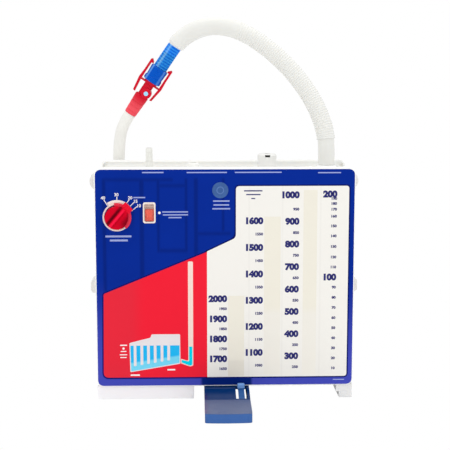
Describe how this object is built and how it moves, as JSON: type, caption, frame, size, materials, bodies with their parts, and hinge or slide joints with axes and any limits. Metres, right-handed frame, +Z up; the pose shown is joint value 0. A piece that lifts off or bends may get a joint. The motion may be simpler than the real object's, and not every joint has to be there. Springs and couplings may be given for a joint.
{
  "type": "chest drainage unit",
  "caption": "Flat free-standing chest drainage case with printed face, suction dial, swing-out foot, side hangers and patient tubing.",
  "frame": {"origin": "Middle of the unit's footprint at floor level, tubing apart.", "axes": "+Z up, the printed face looks along -Y, +X is the viewer's right."},
  "size_m": [0.3192, 0.3579, 0.4479],
  "materials": {
    "clear_face": "clear moulded face with a printed blue, red and white surface, gloss",
    "case_plastic": "translucent white moulded case",
    "white_plastic": "white moulding",
    "red_plastic": "red moulding, gloss",
    "orange_plastic": "orange float",
    "blue_grey_plastic": "blue-grey flag behind its window",
    "indicator_window": "tinted window",
    "clear_window": "clear moulding",
    "blue_water": "blue-dyed water",
    "spring_steel": "spring wire",
    "grey_rubber": "soft grey rubber",
    "green_rubber": "grey-green septum",
    "grey_plastic": "grey moulding",
    "dark_plastic": "dark button",
    "felt": "white filter felt",
    "blue_stand": "translucent blue stand",
    "blue_plastic": "blue moulding",
    "light_blue_plastic": "light blue moulding",
    "milky_hose": "milky corrugated hose",
    "milky_tube": "milky plain tube"
  },
  "bodies": {
    "case": {"face_plate": "clear_face", "chamber_body": "case_plastic", "rear_plate": "case_plastic", "dial_bezel": "white_plastic", "regulator_housing": "white_plastic", "regulator_spring": "spring_steel", "regulator_diaphragm": "grey_rubber", "regulator_poppet": "white_plastic", "float_window": "clear_window", "float_cage": "white_plastic", "indicator_lens": "indicator_window", "indicator_cup": "white_plastic", "seal_column": "clear_window", "leak_meter_cell": "clear_window", "leak_meter_water": "blue_water", "seal_valve_seat": "white_plastic", "seal_valve_flap": "grey_rubber", "suction_port": "grey_plastic", "injection_port": "white_plastic", "injection_septum": "green_rubber", "relief_valve_housing": "case_plastic", "relief_spring": "grey_rubber", "relief_filter": "felt", "positive_relief_valve": "grey_rubber", "patient_port": "case_plastic", "stand_pin": "grey_plastic", "stand_washer": "white_plastic", "patient_hose": "milky_hose", "connector_socket": "blue_plastic", "connector_plug": "red_plastic", "sample_port_plug": "light_blue_plastic", "patient_tube": "milky_tube", "tube_coil": "milky_tube", "patient_connector": "case_plastic", "hanger_pin_left": "white_plastic", "hanger_pin_right": "white_plastic"},
    "dial": {"suction_dial": "red_plastic"},
    "float": {"suction_float": "orange_plastic"},
    "flag": {"indicator_flag": "blue_grey_plastic"},
    "button": {"relief_button": "dark_plastic"},
    "stand": {"floor_stand": "blue_stand", "stand_latch": "light_blue_plastic"},
    "hanger_left": {"hanger_left": "case_plastic"},
    "hanger_right": {"hanger_right": "case_plastic"}
  },
  "joints": [
    {"name": "dial_turn", "type": "hinge", "parent": "case", "child": "dial", "pos_m": [-0.1244, -0.0075, 0.2174], "axis": [0, -1, 0], "range_deg": [-25, 77]},
    {"name": "float_lift", "type": "slide", "parent": "case", "child": "float", "axis": [0, 0, 1], "range_m": [0, 0.006]},
    {"name": "flag_pull", "type": "slide", "parent": "case", "child": "flag", "axis": [0, 1, 0], "range_m": [0, 0.0025], "stiffness_N_per_m": 60, "springref_m": -0.002},
    {"name": "button_press", "type": "slide", "parent": "case", "child": "button", "axis": [0, 0, -1], "range_m": [0, 0.0025], "stiffness_N_per_m": 400, "springref_m": -0.001, "deforming": ["relief_spring"]},
    {"name": "stand_swing", "type": "hinge", "parent": "case", "child": "stand", "pos_m": [0.0016, 0.0365, 0], "axis": [0, 0, 1], "range_deg": [0, 90], "deforming": ["stand_latch"]},
    {"name": "hanger_left_turn", "type": "hinge", "parent": "case", "child": "hanger_left", "pos_m": [-0.1475, 0.04, 0.254], "axis": [0, 1, 0], "range_deg": [0, 180]},
    {"name": "hanger_right_turn", "type": "hinge", "parent": "case", "child": "hanger_right", "pos_m": [0.1475, 0.04, 0.254], "axis": [0, -1, 0], "range_deg": [0, 180]}
  ]
}
